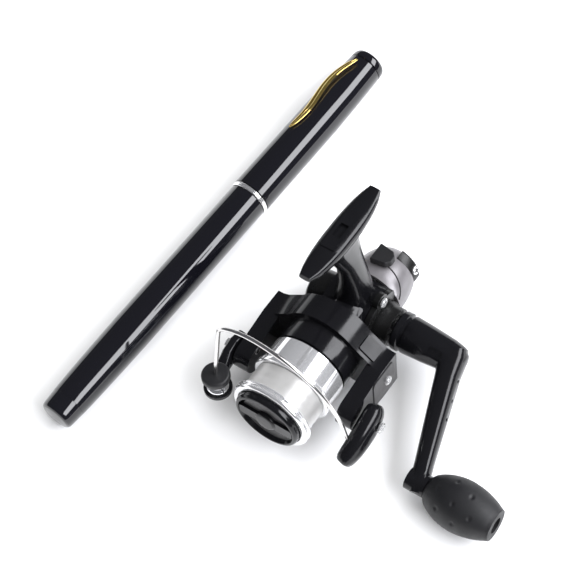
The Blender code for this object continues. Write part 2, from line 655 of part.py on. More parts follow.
def build_crank(reel):
    """Handle shaft, drive gear, crank arm and knob, about the crank's axis."""
    centre = (0, 0, HANDLE_Z)
    crank = empty("crank_axis", reel, centre)
    turned("handle_shaft", [(-19.6, 0), (-19.6, 2.6), (18.2, 2.6), (18.2, 0)], crank, "steel", "y",
           steps=20)
    gear = to_object("drive_gear", extruded_mesh(gear_outline(DRIVE_TEETH, 9.6, 10.6), -7.4, -4.4,
                                                 "y"), crank, "brass")
    hole = turned("gear_bore", [(-8, 0), (-8, 2.9), (-3, 2.9), (-3, 0)], crank, "brass", "y",
                  steps=20)
    boolean(gear, [hole], "DIFFERENCE")
    tube = turned("crank_arm", [
        (18.6, 0), (18.6, 7.6), (19.4, 8.3), (21.6, 8.3), (22.0, 7.5), (23.2, 7.5), (23.6, 8.0),
        (32, 7.6), (42, 6.8), (46.6, 5.8), (49.0, 3.4), (49.6, 0),
    ], crank, "black_plastic", "y", steps=26)
    boss = KNOB_AT - Vector(centre)
    elbow = Vector((0, ELBOW_Y, 0))
    path = [(elbow + Vector((-3.6, -1, 2.3)), 5.4, 5.0), (elbow, 6.4, 6.0)]
    for t in (0.15, 0.35, 0.6, 0.85):
        path.append((elbow.lerp(boss, t), 6.4 - 2.5 * t, 5.2 - 1.7 * t))
    path += [(boss, 4.6, 3.6), (boss + (boss - elbow).normalized() * 4.2, 3.4, 2.8)]
    arm = to_object("arm_beam", swept_mesh(path, (0, 1, 0), 18, 2.6), crank, "black_plastic")
    eye = turned("arm_eye", [(-4.6, 0), (-4.6, 4.6), (3.9, 4.6), (3.9, 0)], crank, "black_plastic",
                 "y", tuple(boss), 28)
    spindle = turned("arm_spindle", [(0, 0), (0, 2.0), (KNOB_LENGTH - 3, 2.0),
                                     (KNOB_LENGTH - 3, 0)], crank, "steel", "y", tuple(boss), 18)
    boolean(tube, [arm, eye, spindle], "UNION")
    shaft_pocket = turned("shaft_pocket", [(17, 0), (17, 2.9), (18.5, 2.9), (18.5, 0)], crank,
                          "black_plastic", "y", steps=16)
    boolean(tube, [shaft_pocket], "DIFFERENCE")
    knob = empty("knob_axis", crank, boss)
    start = 4.2
    end = KNOB_LENGTH + 1.2
    outer = [(start, 4.8)]
    for k in range(1, 13):
        t = k / 12
        bulge = 4.8 + 5.0 * sin(pi * min(t * 1.02, 1) ** 0.86) ** 0.78 + 1.9 * t
        outer.append((start + (end - start) * t, bulge))
    profile = [(start, 2.3)] + outer + [(end, 3.4), (end - 6, 3.4), (end - 6, 2.3)]
    turned("crank_knob", profile, knob, "soft_black", "y", closed=True, steps=26)


def world_points():
    """Every shown vertex in world space, with the modifiers applied."""
    bpy.context.view_layer.update()
    graph = bpy.context.evaluated_depsgraph_get()
    for item in bpy.data.objects:
        if item.type == "MESH" and not item.hide_render:
            shown = item.evaluated_get(graph)
            for vertex in shown.data.vertices:
                yield item, shown.matrix_world @ vertex.co


def settle(reel, rod):
    """Lower the reel onto the ground and centre the whole set on the origin."""
    low = min(point.z for item, point in world_points() if belongs(item, reel))
    reel.location.z -= low
    points = [point for _, point in world_points()]
    for axis in (0, 1):
        values = [point[axis] for point in points]
        middle = (min(values) + max(values)) / 2
        reel.location[axis] -= middle
        rod.location[axis] -= middle


def belongs(item, root):
    while item:
        if item == root:
            return True
        item = item.parent
    return False


def main():
    clear_scene()
    rod = empty("rod_frame", None, (0, 0, CAP_R + 0.1))
    build_case(rod)
    build_hood(rod)
    build_sections(rod)
    build_cap(rod)
    reel = empty("reel_frame", None, (*REEL_PLACE, 30))
    reel.rotation_euler = Euler((REEL_ROLL, REEL_PITCH, REEL_TURN), "XYZ")
    build_body(reel)
    build_covers(reel)
    build_bearing(reel)
    build_lever(reel)
    rotor = build_rotor(reel)
    build_bail(rotor)
    build_spool(reel)
    build_crank(reel)
    settle(reel, rod)


main()
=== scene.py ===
"""Looks of a pocket pen rod and its small spinning reel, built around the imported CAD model.

The rod lies along X. The reel has its own frame, taken from its joints: F runs forward along the
spool axis, H along the crank axis and U towards the foot. Lengths in the tables are millimetres.
"""

import json
from math import asin, cos, pi, radians, sin

import bmesh
import bpy
from mathutils import Matrix, Vector

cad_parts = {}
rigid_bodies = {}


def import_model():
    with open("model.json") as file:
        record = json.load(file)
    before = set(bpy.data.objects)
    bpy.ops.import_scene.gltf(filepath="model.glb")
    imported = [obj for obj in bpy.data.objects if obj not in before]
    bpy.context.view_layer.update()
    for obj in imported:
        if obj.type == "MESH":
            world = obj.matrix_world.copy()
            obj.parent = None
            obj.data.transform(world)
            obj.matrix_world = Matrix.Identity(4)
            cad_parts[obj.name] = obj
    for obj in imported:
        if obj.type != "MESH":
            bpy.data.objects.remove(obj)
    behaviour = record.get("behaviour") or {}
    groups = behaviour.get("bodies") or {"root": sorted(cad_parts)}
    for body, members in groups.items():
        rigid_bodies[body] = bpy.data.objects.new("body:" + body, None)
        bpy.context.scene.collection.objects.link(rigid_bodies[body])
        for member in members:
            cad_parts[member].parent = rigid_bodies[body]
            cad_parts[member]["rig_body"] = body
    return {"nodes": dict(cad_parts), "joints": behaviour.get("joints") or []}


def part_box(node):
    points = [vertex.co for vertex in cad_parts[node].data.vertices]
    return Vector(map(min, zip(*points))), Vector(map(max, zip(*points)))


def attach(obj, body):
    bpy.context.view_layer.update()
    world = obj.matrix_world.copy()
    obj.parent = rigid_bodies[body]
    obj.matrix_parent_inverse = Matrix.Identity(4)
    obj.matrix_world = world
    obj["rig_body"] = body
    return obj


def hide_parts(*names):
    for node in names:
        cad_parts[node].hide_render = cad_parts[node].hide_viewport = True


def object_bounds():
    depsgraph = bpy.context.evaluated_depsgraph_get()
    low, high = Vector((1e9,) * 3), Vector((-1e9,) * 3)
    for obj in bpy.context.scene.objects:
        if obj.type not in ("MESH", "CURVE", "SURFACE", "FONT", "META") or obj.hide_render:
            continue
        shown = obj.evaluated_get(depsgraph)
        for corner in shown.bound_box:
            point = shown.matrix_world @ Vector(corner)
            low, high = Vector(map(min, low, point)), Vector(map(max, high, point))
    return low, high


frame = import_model()
CAD_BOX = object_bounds()

MM = 0.001
ON_AXIS = 1e-6
JOINTS = {joint["name"]: joint for joint in frame["joints"]}
FORWARD = Vector(JOINTS["rotor_turn"]["axis"])
SIDE = Vector(JOINTS["crank_turn"]["axis"])
UP = FORWARD.cross(SIDE)
REEL_AT = Vector(JOINTS["rotor_turn"]["pos_m"])
CRANK_AT = Vector(JOINTS["crank_turn"]["pos_m"])
KNOB_AXIS_AT = Vector(JOINTS["knob_spin"]["pos_m"])

# Rod, in mm from the butt end
CASE_LENGTH = 205.0
CASE_R = 8.4
CAP_R = 8.75
RING_AT = 121.3
CAP_AT = 123.5
CLIP_LENGTH = 42.7
CLIP_INSET = 7.3
CLIP_LEAN = radians(11)

# Reel, in mm in its own frame
HANDLE_Z = (CRANK_AT - REEL_AT).dot(UP) / MM
PIVOT_X = (Vector(JOINTS["bail_flip"]["pos_m"]) - REEL_AT).dot(FORWARD) / MM
ARM_Z = (Vector(JOINTS["bail_flip"]["pos_m"]) - REEL_AT).dot(UP) / MM
ROLLER_X = (Vector(JOINTS["roller_spin"]["pos_m"]) - REEL_AT).dot(FORWARD) / MM
ROLLER_Y = (Vector(JOINTS["roller_spin"]["pos_m"]) - REEL_AT).dot(SIDE) / MM
REAR_Z = (Vector(JOINTS["anti_reverse_turn"]["pos_m"]) - REEL_AT).dot(UP) / MM
LIP_X = 62.5
LIP_R = 17.1
SKIRT_X = 35.5
SKIRT_R = 16.0
FLANGE_X = 46.1
REAR_R = 13.0
REAR_LENGTH = 21.0
REAR_FRONT = -9.4
REAR_WALL = 1.6
REAR_BLUNT = 0.8
STRIP_AT = 15.0
REAR_SCREW_TURN = 1.15
FOOT_X = 8.0
FOOT_TOP = 57.6
ARM_Y = 27.0
YOKE_MIDDLE = 20.3
KNOB_LENGTH = 34.2

# Camera and light, fitted to the object seen from above its left front
AZIMUTH = radians(-51.93)
ELEVATION = radians(65.87)
DISTANCE = 0.75
LENS = 117.98
LOOK_FROM_ROD = Vector((-0.0066, -0.0409, 0.0116))
KEY_SIDE = Vector((0.3219, -0.655, 0.685))
KEY_DISTANCE = 0.9
TOP_HEIGHT = 1.6
FLOOR_GAP = 0.0002


def axes_frame(forward, side, up, at):
    """Matrix that takes a frame's own metres to the row frame."""
    matrix = Matrix((forward, side, up)).transposed().to_4x4()
    matrix.translation = at
    return matrix


def rod_frame():
    """Frame at the middle of the closed rod, on its axis."""
    low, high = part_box("case_tube")
    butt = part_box("butt_cap")[0]
    middle = butt.x + CASE_LENGTH * MM / 2
    return Matrix.Translation((middle, (low.y + high.y) / 2, (low.z + high.z) / 2))


REEL = axes_frame(FORWARD, SIDE, UP, REEL_AT)
ROD = rod_frame()
BUTT = ROD @ Matrix.Translation((-CASE_LENGTH * MM / 2, 0, 0))
CRANK = axes_frame(FORWARD, SIDE, UP, CRANK_AT)
KNOB = axes_frame(FORWARD, SIDE, UP, KNOB_AXIS_AT)

# ---------------------------------------------------------------- materials


class Finish:
    """A node material under construction: a principled shader and the nodes that feed it."""

    def __init__(self, name, colour, rough, metallic=0.0, **sockets):
        self.material = bpy.data.materials.new(name)
        self.material.use_nodes = True
        self.tree = self.material.node_tree
        self.shader = self.tree.nodes["Principled BSDF"]
        self.shader.inputs["Base Color"].default_value = (*colour, 1)
        self.shader.inputs["Roughness"].default_value = rough
        self.shader.inputs["Metallic"].default_value = metallic
        for socket, value in sockets.items():
            self.shader.inputs[socket.replace("_", " ")].default_value = value
        self.place = self.tree.nodes.new("ShaderNodeTexCoord").outputs["Object"]

    def link(self, source, target):
        self.tree.links.new(source, target)

    def noise(self, scale, detail=4.0):
        node = self.tree.nodes.new("ShaderNodeTexNoise")
        node.inputs["Scale"].default_value = scale
        node.inputs["Detail"].default_value = detail
        self.link(self.place, node.inputs["Vector"])
        return node.outputs["Fac"]

    def spread(self, source, low, high):
        """A noise's middle range stretched between two values."""
        node = self.tree.nodes.new("ShaderNodeMapRange")
        node.inputs["From Min"].default_value = 0.3
        node.inputs["From Max"].default_value = 0.7
        node.inputs["To Min"].default_value = low
        node.inputs["To Max"].default_value = high
        self.link(source, node.inputs["Value"])
        return node.outputs["Result"]

    def rough(self, scale, low, high):
        self.link(self.spread(self.noise(scale), low, high), self.shader.inputs["Roughness"])
        return self

    def tint(self, scale, first, second):
        """Colour that drifts between two tones."""
        ramp = self.tree.nodes.new("ShaderNodeValToRGB")
        ramp.color_ramp.elements[0].position = 0.35
        ramp.color_ramp.elements[1].position = 0.65
        ramp.color_ramp.elements[0].color = (*first, 1)
        ramp.color_ramp.elements[1].color = (*second, 1)
        self.link(self.noise(scale), ramp.inputs["Fac"])
        self.link(ramp.outputs["Color"], self.shader.inputs["Base Color"])
        return self

    def bump(self, source, depth):
        node = self.tree.nodes.new("ShaderNodeBump")
        node.inputs["Strength"].default_value = 0.6
        node.inputs["Distance"].default_value = depth
        self.link(source, node.inputs["Height"])
        self.link(node.outputs["Normal"], self.shader.inputs["Normal"])
        return self

    def grain(self, scale, depth):
        return self.bump(self.noise(scale, 2.0), depth)

    def brushed(self, axis, scale, depth):
        """Fine lines round an axis, from bands across it."""
        along = self.tree.nodes.new("ShaderNodeVectorMath")
        along.operation = "DOT_PRODUCT"
        along.inputs[1].default_value = axis
        self.link(self.place, along.inputs[0])
        noise = self.tree.nodes.new("ShaderNodeTexNoise")
        noise.noise_dimensions = "1D"
        noise.inputs["Scale"].default_value = scale
        self.link(along.outputs["Value"], noise.inputs["W"])
        return self.bump(noise.outputs["Fac"], depth)


def make_finishes():
    """One material for each finish on the object, in linear colours."""
    lacquer = Finish("lacquer_black", (0.004, 0.004, 0.006), 0.05, Specular_IOR_Level=0.5,
                     Coat_Weight=0.3, Coat_Roughness=0.03).rough(60, 0.04, 0.08)
    gloss = Finish("plastic_gloss", (0.005, 0.005, 0.006), 0.14, Specular_IOR_Level=0.32)
    gloss.rough(90, 0.10, 0.2).grain(900, 0.00001)
    plastic = Finish("plastic_black", (0.006, 0.006, 0.006), 0.25, Specular_IOR_Level=0.32)
    plastic.rough(120, 0.2, 0.34).grain(1400, 0.00002)
    dull = Finish("plastic_dull", (0.010, 0.010, 0.011), 0.45).rough(150, 0.4, 0.55)
    dull.grain(2200, 0.00003)
    soft = Finish("soft_black", (0.005, 0.005, 0.006), 0.55).rough(200, 0.5, 0.65)
    soft.grain(2600, 0.00004)
    grey = Finish("satin_grey", (0.17, 0.165, 0.17), 0.34, 0.35)
    grey.tint(240, (0.165, 0.158, 0.165), (0.195, 0.187, 0.195)).rough(180, 0.3, 0.4)
    arm_grey = Finish("satin_dark_grey", (0.034, 0.033, 0.034), 0.42, 0.1).rough(180, 0.35, 0.48)
    arm_grey.grain(2600, 0.00003)
    chrome = Finish("chrome", (0.88, 0.88, 0.89), 0.06, 0.9).rough(70, 0.05, 0.1)
    skirt = Finish("chrome_skirt", (0.92, 0.92, 0.93), 0.1, 0.8).rough(50, 0.09, 0.14)
    wire = Finish("wire_steel", (0.72, 0.71, 0.70), 0.16, 1.0).rough(300, 0.12, 0.24)
    steel = Finish("steel", (0.78, 0.78, 0.78), 0.28, 0.85).rough(260, 0.2, 0.34)
    steel.grain(1800, 0.00001)
    gold = Finish("gold_plate", (0.83, 0.61, 0.2), 0.16, 1.0).rough(220, 0.12, 0.24)
    brass = Finish("brass", (0.62, 0.44, 0.17), 0.3, 1.0).rough(200, 0.24, 0.4)
    line = Finish("nylon_line", (0.5, 0.5, 0.49), 0.3, 0.45, Sheen_Weight=0.3)
    line.tint(90, (0.46, 0.455, 0.445), (0.54, 0.535, 0.525)).brushed(FORWARD, 9000, 0.00002)
    felt = Finish("felt_washer", (0.4, 0.38, 0.34), 0.9).tint(500, (0.3, 0.28, 0.25), (0.45, 0.43, 0.4))
    fibre = Finish("fibreglass", (0.02, 0.02, 0.024), 0.3, Coat_Weight=0.4).rough(150, 0.25, 0.4)
    fibre.brushed(Vector((1, 0, 0)), 2500, 0.00001)
    # Near-black painted shade: the rear cover's seam groove and the screws' cross recesses are drawn in
    # it, not cut.
    painted_shade = Finish("painted_shade_black", (0.002, 0.002, 0.002), 0.6).rough(200, 0.55, 0.7)
    makers = dict(lacquer=lacquer, gloss=gloss, plastic=plastic, dull=dull, soft=soft, grey=grey,
                  arm_grey=arm_grey, chrome=chrome, skirt=skirt, wire=wire, steel=steel, gold=gold,
                  brass=brass, line=line, felt=felt, fibre=fibre, painted_shade=painted_shade)
    return {name: maker.material for name, maker in makers.items()}


FINISH = make_finishes()

# ---------------------------------------------------------------- mesh tools

SOFT_BEND = radians(20)
ARC_STEPS = 3
DENSE_STEP = 0.4


def to_piece(name, bm, matrix, finish, body, nodes=(), sharp=32):
    """Object from a bmesh in a frame's own millimetres, riding on a body."""
    bmesh.ops.recalc_face_normals(bm, faces=bm.faces)
    mesh = bpy.data.meshes.new(name)
    bm.to_mesh(mesh)
    bm.free()
    mesh.transform(matrix @ Matrix.Scale(MM, 4))
    mesh.materials.append(FINISH[finish])
    return ride_piece(name, mesh, body, nodes, sharp)


def ride_piece(name, mesh, body, nodes, sharp):
    mesh.shade_smooth()
    mesh.set_sharp_from_angle(angle=radians(sharp))
    piece = bpy.data.objects.new(name, mesh)
    bpy.context.scene.collection.objects.link(piece)
    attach(piece, body)
    if nodes:
        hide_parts(*nodes)
    return piece


def rounded(profile, radius, closed):
    """The profile with each sharp corner turned into a short arc."""
    points = [Vector(point) for point in profile]
    count = len(points)
    result = []
    for k, point in enumerate(points):
        if not closed and k in (0, count - 1):
            result.append(point)
            continue
        before, after = points[k - 1] - point, points[(k + 1) % count] - point
        bend = pi - before.angle(after)
        reach = min(radius, 0.4 * before.length, 0.4 * after.length)
        if bend < SOFT_BEND or point.y < ON_AXIS:
            result.append(point)
            continue
        start, end = point + before.normalized() * reach, point + after.normalized() * reach
        for step in range(ARC_STEPS + 1):
            t = step / ARC_STEPS
            result.append(start * (1 - t) ** 2 + point * 2 * t * (1 - t) + end * t * t)
    return result


AXIS_TURN = {
    "x": Matrix.Identity(4),
    "y": Matrix(((0, 0, 1, 0), (1, 0, 0, 0), (0, 1, 0, 0), (0, 0, 0, 1))),
    "z": Matrix(((0, 1, 0, 0), (0, 0, 1, 0), (1, 0, 0, 0), (0, 0, 0, 1))),
}


def lathe(profile, axis="x", centre=(0, 0, 0), steps=96, closed=False, radius=0.3, ripple=None):
    """Solid turned from (along, radius) points. ripple gives a change of radius at each point."""
    bm = bmesh.new()
    rings = []
    for along, out in rounded(profile, radius, closed):
        if out < ON_AXIS:
            rings.append([bm.verts.new((along, 0, 0))])
            continue
        ring = []
        for k in range(steps):
            turn = 2 * pi * k / steps
            grown = out + (ripple(along, turn) if ripple else 0)
            ring.append(bm.verts.new((along, grown * cos(turn), grown * sin(turn))))
        rings.append(ring)
    pairs = list(zip(rings, rings[1:] + rings[:1] if closed else rings[1:]))
    for first, second in pairs:
        for k in range(steps):
            corners = [first[k % len(first)], first[(k + 1) % len(first)],
                       second[(k + 1) % len(second)], second[k % len(second)]]
            corners = list(dict.fromkeys(corners))
            if len(corners) > 2:
                bm.faces.new(corners)
    bm.transform(Matrix.Translation(centre) @ AXIS_TURN[axis])
    return bm


def dense(profile):
    """The profile with long stretches cut into steps of about a step's length."""
    points = [Vector(point) for point in profile]
    result = []
    for first, second in zip(points, points[1:] + points[:1]):
        steps = max(1, int((second - first).length / DENSE_STEP))
        result += [tuple(first.lerp(second, k / steps)) for k in range(steps)]
    return result


def smooth_path(points, steps):
    """Catmull-Rom curve through the points."""
    points = [Vector(point) for point in points]
    ends = [points[0] * 2 - points[1]] + points + [points[-1] * 2 - points[-2]]
    path = []
    for k in range(len(points) - 1):
        a, b, c, d = ends[k:k + 4]
        for step in range(steps):
            t = step / steps
            path.append(0.5 * (2 * b + (c - a) * t + (2 * a - 5 * b + 4 * c - d) * t * t
                               + (3 * b - a - 3 * c + d) * t ** 3))
    return path + [points[-1]]


def sweep(stations, up, steps=24, power=2.0):
    """Solid through (centre, half width, half height) stations, with a superellipse section."""
    bm = bmesh.new()
    centres = [Vector(station[0]) for station in stations]
    rings = []
    for k, (centre, (_, wide, high)) in enumerate(zip(centres, stations)):
        ahead = centres[min(k + 1, len(centres) - 1)] - centres[max(k - 1, 0)]
        across = Vector(up).cross(ahead).normalized()
        rise = ahead.cross(across).normalized()
        ring = []
        for step in range(steps):
            turn = 2 * pi * step / steps
            c, s = cos(turn), sin(turn)
            x = abs(c) ** (2 / power) * (1 if c >= 0 else -1) * wide
            y = abs(s) ** (2 / power) * (1 if s >= 0 else -1) * high
            ring.append(bm.verts.new(centre + across * x + rise * y))
        rings.append(ring)
    for first, second in zip(rings, rings[1:]):
        for k in range(steps):
            n = (k + 1) % steps
            bm.faces.new((first[k], first[n], second[n], second[k]))
    bm.faces.new(rings[0][::-1])
    bm.faces.new(rings[-1])
    return bm


def tube(points, radius, up, steps=16):
    return sweep([(point, radius, radius) for point in points], up, steps)


def join(*parts):
    """One bmesh from several."""
    whole = parts[0]
    for part in parts[1:]:
        mesh = bpy.data.meshes.new("joined")
        part.to_mesh(mesh)
        part.free()
        whole.from_mesh(mesh)
        bpy.data.meshes.remove(mesh)
    return whole


def slab(width, height, low, high, corner=0.8, axis="x", centre=(0, 0, 0)):
    """Plate with rounded corners, standing on the plane across its axis."""
    bm = bmesh.new()
    outline = []
    for quarter in range(4):
        middle = (width / 2 - corner) * (1 if quarter in (0, 3) else -1)
        rise = (height / 2 - corner) * (1 if quarter < 2 else -1)
        for k in range(5):
            angle = pi / 2 * (quarter + k / 4)
            outline.append((middle + corner * cos(angle), rise + corner * sin(angle)))
    base = [bm.verts.new((low, y, z)) for y, z in outline]
    top = [bm.verts.new((high, y, z)) for y, z in outline]
    bm.faces.new(base[::-1])
    bm.faces.new(top)
    for k in range(len(base)):
        n = (k + 1) % len(base)
        bm.faces.new((base[k], base[n], top[n], top[k]))
    bmesh.ops.bevel(bm, geom=[e for e in bm.edges if e.calc_face_angle(0) > 1.2], offset=0.2,
                    segments=2, affect="EDGES")
    bm.transform(Matrix.Translation(centre) @ AXIS_TURN[axis])
    return bm


def softened(node, width, finish, sharp=40, cuts=(), levels=0):
    """Finer stand-in for a CAD node: the same solid with its edges rounded."""
    source = frame["nodes"][node]
    bm = bmesh.new()
    bm.from_mesh(source.data)
    bmesh.ops.remove_doubles(bm, verts=bm.verts, dist=1e-6)
    bmesh.ops.dissolve_limit(bm, angle_limit=radians(1.0), verts=bm.verts, edges=bm.edges)
    mesh = bpy.data.meshes.new(f"{node}_shell")
    bm.to_mesh(mesh)
    bm.free()
    mesh.materials.append(FINISH[finish])
    body = source["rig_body"]
    piece = ride_piece(f"{node}_shell", mesh, body, (node,), sharp)
    for tool in cuts:
        cut = piece.modifiers.new("cut", "BOOLEAN")
        cut.object = tool
        cut.solver = "EXACT"
    if levels:
        smooth = piece.modifiers.new("smooth", "SUBSURF")
        smooth.levels = smooth.render_levels = levels
    if width:
        bevel = piece.modifiers.new("edges", "BEVEL")
        bevel.width = width * MM
        bevel.segments = 3
        bevel.limit_method = "ANGLE"
        bevel.angle_limit = radians(sharp)
        bevel.harden_normals = True
    apply_modifiers(piece)
    for tool in cuts:
        bpy.data.objects.remove(tool)
    return piece


def apply_modifiers(piece):
    graph = bpy.context.evaluated_depsgraph_get()
    mesh = bpy.data.meshes.new_from_object(piece.evaluated_get(graph), depsgraph=graph)
    piece.modifiers.clear()
    piece.data = mesh


def cutter(bm, matrix):
    """Hidden tool for a cut, in a frame's own millimetres."""
    bmesh.ops.recalc_face_normals(bm, faces=bm.faces)
    mesh = bpy.data.meshes.new("cutter")
    bm.to_mesh(mesh)
    bm.free()
    mesh.transform(matrix @ Matrix.Scale(MM, 4))
    tool = bpy.data.objects.new("cutter", mesh)
    bpy.context.scene.collection.objects.link(tool)
    tool.hide_render = True
    return tool


def dress(finish, *nodes):
    """Gives CAD nodes that stay a finished material."""
    for node in nodes:
        mesh = frame["nodes"][node].data
        mesh.materials.clear()
        mesh.materials.append(FINISH[finish])
        mesh.shade_smooth()
        mesh.set_sharp_from_angle(angle=radians(32))


# ---------------------------------------------------------------- rod


def build_rod():
    """Lacquered case and cap, bright ring and the waved clip."""
    bore = 6.4
    to_piece("case_shell", lathe([
        (8.04, bore), (8.04, 7.53), (12, 7.75), (20, 7.97), (31, 8.2), (45, CASE_R),
        (RING_AT - 0.3, CASE_R), (RING_AT - 0.3, bore)], closed=True, radius=0.05), BUTT,
        "lacquer", "rod_case", ["case_tube"])
    to_piece("butt_shell", lathe([
        (0, 0), (0, 5.6), (0.15, 6.1), (0.55, 6.65), (1.2, 6.98), (2.4, 7.15), (8.0, 7.52),
        (8.0, 0)], radius=0.05), BUTT, "lacquer", "rod_case", ["butt_cap"])
    to_piece("ring_shell", lathe([
        (RING_AT, 7.2), (RING_AT, 8.55), (RING_AT + 0.3, CAP_R + 0.1), (RING_AT + 0.75, CAP_R + 0.1),
        (RING_AT + 0.95, CAP_R - 0.15), (RING_AT + 1.15, CAP_R + 0.1), (RING_AT + 1.6, CAP_R + 0.1),
        (RING_AT + 1.9, 8.55), (RING_AT + 1.9, 7.2)], closed=True, radius=0.12), BUTT, "chrome",
        "rod_case", ["ferrule_ring"])
    end = CASE_LENGTH
    to_piece("cap_shell", lathe([
        (CAP_AT, 8.0), (CAP_AT, CAP_R), (end - 35, CAP_R - 0.05), (end - 20, 8.3), (end - 4.3, 7.75),
        (end - 4.3, 6.6), (end - 18, 7.3), (end - 35, 8.0)], closed=True), BUTT, "lacquer", "cap",
        ["cap_tube"])
    to_piece("cap_end_shell", lathe([
        (end - 4.0, 0), (end - 4.0, 7.73), (end - 1.4, 7.55), (end - 0.4, 7.1), (end, 6.4),
        (end, 0)], radius=0.6), BUTT, "lacquer", "cap", ["cap_end"])
    build_clip(end)


def build_clip(end):
    """Two gold strands side by side, waving together and meeting at both tips."""
    count = 60
    strands = []
    for part in (-1, 1):
        stations = []
        for k in range(count + 1):
            t = k / count
            fall = sin(pi * t)
            width = 0.44 + 0.52 * fall ** 0.6
            wave = 3.0 * t + 1.8 * fall + 1.7 * sin(2 * pi * t)
            wave += part * (0.30 + 0.52 * fall ** 0.6)
            lift = 9.65 + 0.35 * fall
            turn = CLIP_LEAN + wave / lift
            tip = min(1.0, 0.35 + 3.0 * fall)
            at = (end - CLIP_INSET - t * CLIP_LENGTH, lift * sin(turn), lift * cos(turn))
            stations.append((at, width * tip, 0.5 * tip))
        strands.append(sweep(stations, (0, sin(CLIP_LEAN + 0.25), cos(CLIP_LEAN + 0.25)), 16, 2.2))
    to_piece("clip_strands", join(*strands), BUTT, "gold", "cap", ["cap_clip"])


# ---------------------------------------------------------------- reel body


def shell_point(along, turn, lift=0.0):
    """Point on the rear cover, along its axis behind the front edge and round from the top."""
    share = min(along / REAR_LENGTH, 1.0)
    angle = asin(share ** (1 / REAR_BLUNT))
    out = REAR_R * cos(angle) ** REAR_BLUNT + lift
    return Vector((REAR_FRONT - along - lift * share, out * sin(turn), REAR_Z + out * cos(turn)))


def screw_head(name, at, turn):
    """Pan-head screw facing out of the rear cover, its cross recess a black cross of painted shade."""
    dome = lathe([(0, 0), (0, 1.9), (0.5, 1.9), (0.9, 1.5), (1.0, 0)], radius=0.3, steps=40)
    cross = join(slab(2.4, 0.55, 0.96, 1.02, 0.2), slab(0.55, 2.4, 0.96, 1.02, 0.2))
    place = REEL @ Matrix.Scale(MM, 4) @ Matrix.Translation(at)
    place = place @ Matrix.Rotation(pi / 2 - turn, 4, "X") @ Matrix.Rotation(pi / 2, 4, "Z")
    place = place @ Matrix.Scale(1 / MM, 4)
    to_piece(name, dome, place, "steel", "reel_frame")
    # The cross is a flat black plate on the dome, painted shade where the recess would be.
    to_piece(f"{name}_cross", cross, place, "painted_shade", "reel_frame")


def build_body():
    """Body casting with its foot, the side cover and cap, the rear cover and the small lever."""
    pocket = cutter(slab(6.5, 3.6, FOOT_TOP - 1.3, FOOT_TOP + 1, 0.5, "z", (FOOT_X, 0, 0)), REEL)
    softened("reel_body", 0.4, "gloss", cuts=[pocket])
    softened("side_cover", 0.4, "plastic")
    build_rear_cover()
    to_piece("side_cap_shell", lathe([
        (-21.6, 0), (-21.6, 7.0), (-20.6, 8.2), (-14.6, 8.6), (-13.0, 8.2), (-11.9, 7.2),
        (-11.9, 3.1), (-20.4, 3.1), (-20.4, 0)], "y", (0, 0, HANDLE_Z), radius=0.4), REEL,
        "plastic", "reel_frame", ["side_cap"])
    softened("anti_reverse_lever", 0.5, "dull")


def build_rear_cover():
    """Blunt grey cover behind the body, with its strip, its screw and its seam as painted shade."""
    count = 16
    outer, inner = [], []
    for k in range(count + 1):
        turn = pi / 2 * k / count
        along, out = sin(turn) ** REAR_BLUNT, max(cos(turn), 0) ** REAR_BLUNT
        outer.append((-REAR_LENGTH * along, REAR_R * out if k < count else 0))
        inner.append((-(REAR_LENGTH - REAR_WALL) * along,
                      (REAR_R - REAR_WALL) * out if k < count else 0))
    shell = lathe(outer + inner[::-1], centre=(REAR_FRONT, 0, REAR_Z), closed=True, radius=0)
    to_piece("rear_shell", shell, REEL, "grey", "reel_frame", ["rear_cover"], 50)
    # The seam groove is not cut: a near-black tube just over the shell paints its shade.
    painted_shade = [shell_point(along, turn, 0.02) for along, turn in
            ((0.6, 1.25), (2.6, 1.12), (4.6, 0.9), (6.2, 0.6), (7.2, 0.25), (7.6, -0.1))]
    to_piece("rear_seam_painted_shade", tube(smooth_path(painted_shade, 6), 0.28, (0.3, 1, 0), 10), REEL, "painted_shade",
             "reel_frame")
    strip = [(shell_point(STRIP_AT, 0.3 + 0.16 * k, 0.3), 0.7, 2.5) for k in range(9)]
    to_piece("rear_strip", sweep(strip, (1, 0, 0), 20, 4.0), REEL, "plastic", "reel_frame")
    screw_head("rear_screw", shell_point(STRIP_AT, REAR_SCREW_TURN, 0.9), REAR_SCREW_TURN)


# ---------------------------------------------------------------- rotor and bail


def build_rotor():
    """Rotor with its bridge plate, grey arm faces and the coil spring by the roller arm."""
    softened("rotor", 0.45, "gloss")
    face = slab(15.5, 14.0, ARM_Y + 0.6, ARM_Y + 0.95, 2.0, "y", (25.0, 0, ARM_Z - 0.3))
    to_piece("arm_face", face, REEL, "arm_grey", "rotor_group")
    panel = slab(7.0, 8.0, 0, 0.4, 0.5, "z")
    panel.transform(Matrix.Translation((YOKE_MIDDLE, 19.4, 8.3)) @ Matrix.Rotation(-0.67, 4, "X"))
    to_piece("yoke_panel", panel, REEL, "dull", "rotor_group")
    coil = []
    turns, steps, reach, out = 3.5, 20, 2.1, 1.7
    for k in range(int(turns * steps) + 1):
        angle = 2 * pi * k / steps
        coil.append((PIVOT_X - 1.5 + out * cos(angle), -ARM_Y + 4.6 + reach * k / (turns * steps),
                     ARM_Z + 4.5 + out * sin(angle)))
    to_piece("bail_spring", tube(coil, 0.32, (0.3, 1, 0.2), 8), REEL, "wire", "rotor_group")


